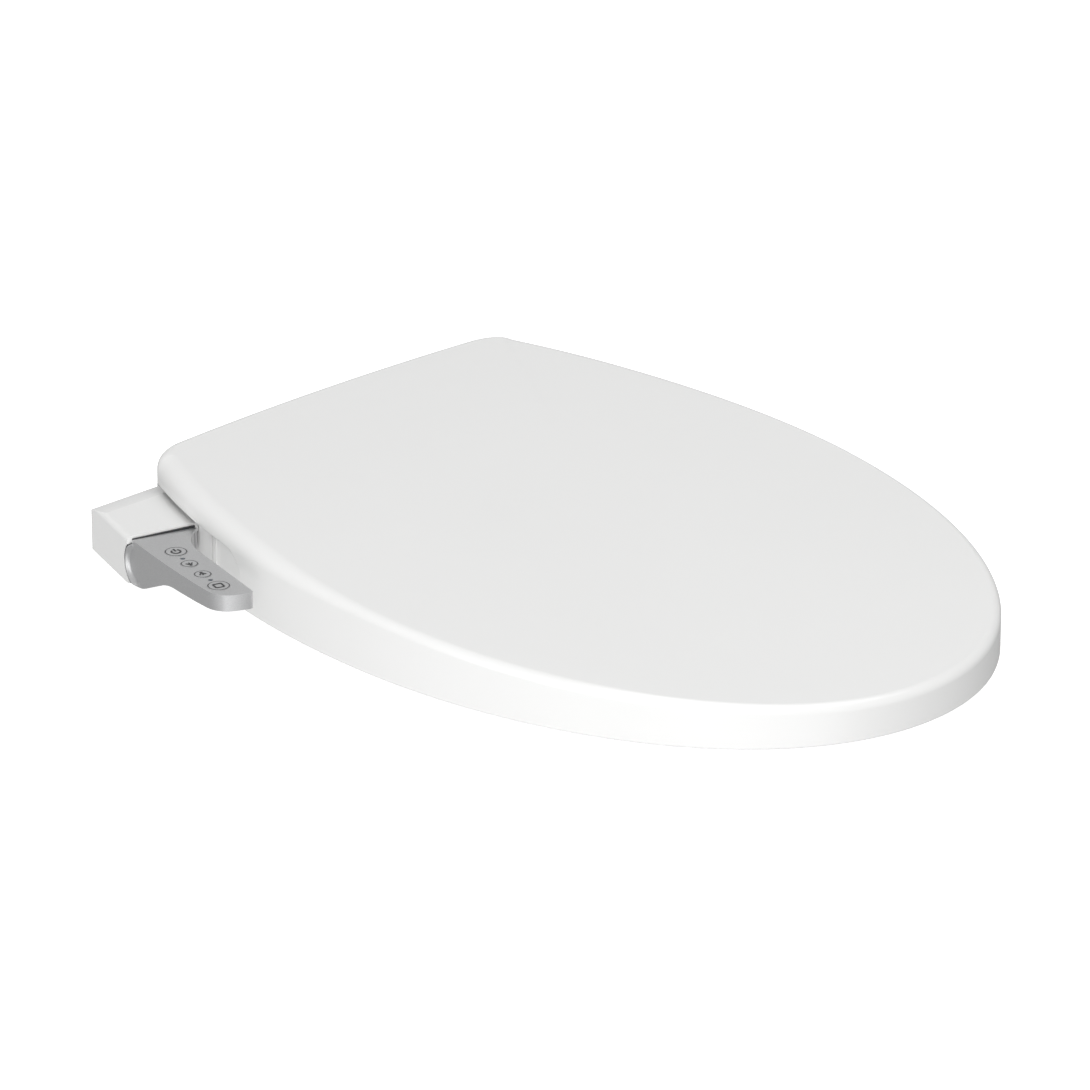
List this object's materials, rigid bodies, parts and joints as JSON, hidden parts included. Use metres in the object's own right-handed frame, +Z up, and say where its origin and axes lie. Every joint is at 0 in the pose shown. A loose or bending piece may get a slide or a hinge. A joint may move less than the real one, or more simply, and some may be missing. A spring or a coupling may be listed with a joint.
{
  "type": "electric bidet seat",
  "caption": "Electric bidet seat: heated seat ring and lid on one hinge line over a slim base, a side control arm with round buttons and two sliding washing nozzles.",
  "frame": {"origin": "underside of the mounting plate, which is the plane of the bowl's rim, midway between the two mounting bolts", "axes": "+Z up, -Y towards the front of the bowl, +X towards the side without the control arm"},
  "size_m": [0.4102, 0.523, 0.0597],
  "materials": {
    "shell": "smooth white moulded plastic, satin gloss",
    "silver": "fine silver metallic paint, satin",
    "button": "silver-grey button cap with a thin dark rim",
    "lens": "small dark indicator lens",
    "inner": "off-white moulded nylon",
    "board": "green circuit board with parts",
    "black": "black moulded plastic",
    "rubber": "soft white rubber",
    "steel": "bright stainless steel",
    "brass": "plated brass thread",
    "foil": "thin heating foil",
    "hose": "translucent silicone hose",
    "gear": "natural acetal gear"
  },
  "bodies": {
    "base": {"base_upper_cover": "shell", "base_lower_tray": "shell", "cord_gland": "black", "release_spring": "steel", "seat_damper": "black", "lid_damper": "black", "right_hinge_pin": "steel", "left_hinge_pin": "steel", "mounting_plate": "inner", "right_bolt_adjuster": "black", "left_bolt_adjuster": "black", "arm_root_cover": "shell", "arm_upper_shell": "silver", "arm_lower_shell": "silver", "panel_circuit_board": "board", "power_lamp": "lens", "seat_heat_lamp": "lens", "nozzle_cradle": "inner", "nozzle_manifold": "inner", "nozzle_guard": "shell", "front_nozzle_motor": "black", "rear_nozzle_motor": "black", "main_circuit_board": "board", "power_supply": "black", "water_inlet_fitting": "brass", "inlet_filter": "inner", "inlet_valve": "inner", "water_heater": "inner", "diverter_valve": "inner", "diverter_motor": "black", "inlet_hose": "hose", "heater_hose": "hose", "front_wash_hose": "hose", "rear_wash_hose": "hose"},
    "seat": {"seat_upper_shell": "shell", "seat_lower_shell": "shell", "seat_heater_foil": "foil", "seat_temperature_sensor": "black", "sitting_sensor": "board", "seat_pad_rear_left": "rubber", "seat_pad_rear_right": "rubber", "seat_pad_front_left": "rubber", "seat_pad_front_right": "rubber"},
    "lid": {"lid_shell": "shell", "lid_pad_rear_left": "rubber", "lid_pad_rear_right": "rubber", "lid_pad_front_left": "rubber", "lid_pad_front_right": "rubber"},
    "front_nozzle": {"front_nozzle": "inner", "front_nozzle_tip": "steel"},
    "rear_nozzle": {"rear_nozzle": "inner", "rear_nozzle_tip": "steel"},
    "front_pinion": {"front_nozzle_pinion": "gear"},
    "rear_pinion": {"rear_nozzle_pinion": "gear"},
    "power_button": {"power_button": "button"},
    "front_wash_button": {"front_wash_button": "button"},
    "rear_wash_button": {"rear_wash_button": "button"},
    "stop_button": {"stop_button": "button"},
    "release_button": {"release_button": "inner"}
  },
  "joints": [
    {"name": "seat_hinge", "type": "hinge", "parent": "base", "child": "seat", "pos_m": [0, 0.033, 0.049], "axis": [1, 0, 0], "range_deg": [-98, 0]},
    {"name": "lid_hinge", "type": "hinge", "parent": "seat", "child": "lid", "pos_m": [0, 0.033, 0.049], "axis": [-1, 0, 0], "range_deg": [0, 106]},
    {"name": "front_nozzle_slide", "type": "slide", "parent": "base", "child": "front_nozzle", "axis": [0, -0.989, -0.1478], "range_m": [0, 0.07]},
    {"name": "rear_nozzle_slide", "type": "slide", "parent": "base", "child": "rear_nozzle", "axis": [0, -0.989, -0.1478], "range_m": [0, 0.07]},
    {"name": "front_pinion_spin", "type": "hinge", "parent": "base", "child": "front_pinion", "pos_m": [0.0295, -0.06242, 0.01662], "axis": [0, -0.1478, 0.989], "range_deg": [0, 669]},
    {"name": "rear_pinion_spin", "type": "hinge", "parent": "base", "child": "rear_pinion", "pos_m": [-0.0295, -0.06242, 0.01662], "axis": [0, -0.1478, 0.989], "range_deg": [-669, 0]},
    {"name": "power_button_press", "type": "slide", "parent": "base", "child": "power_button", "axis": [0, 0, -1], "range_m": [0, 0.0008], "stiffness_N_per_m": 500},
    {"name": "front_wash_button_press", "type": "slide", "parent": "base", "child": "front_wash_button", "axis": [0, 0, -1], "range_m": [0, 0.0008], "stiffness_N_per_m": 500},
    {"name": "rear_wash_button_press", "type": "slide", "parent": "base", "child": "rear_wash_button", "axis": [0, 0, -1], "range_m": [0, 0.0008], "stiffness_N_per_m": 500},
    {"name": "stop_button_press", "type": "slide", "parent": "base", "child": "stop_button", "axis": [0, 0, -1], "range_m": [0, 0.0008], "stiffness_N_per_m": 500},
    {"name": "release_button_press", "type": "slide", "parent": "base", "child": "release_button", "axis": [-1, 0, 0], "range_m": [0, 0.0025], "stiffness_N_per_m": 400, "deforming": ["release_spring"]}
  ],
  "couplings": [
    {"joint": "front_pinion_spin", "follows": "front_nozzle_slide", "rad_per_m": 166.67},
    {"joint": "rear_pinion_spin", "follows": "rear_nozzle_slide", "rad_per_m": -166.67}
  ]
}
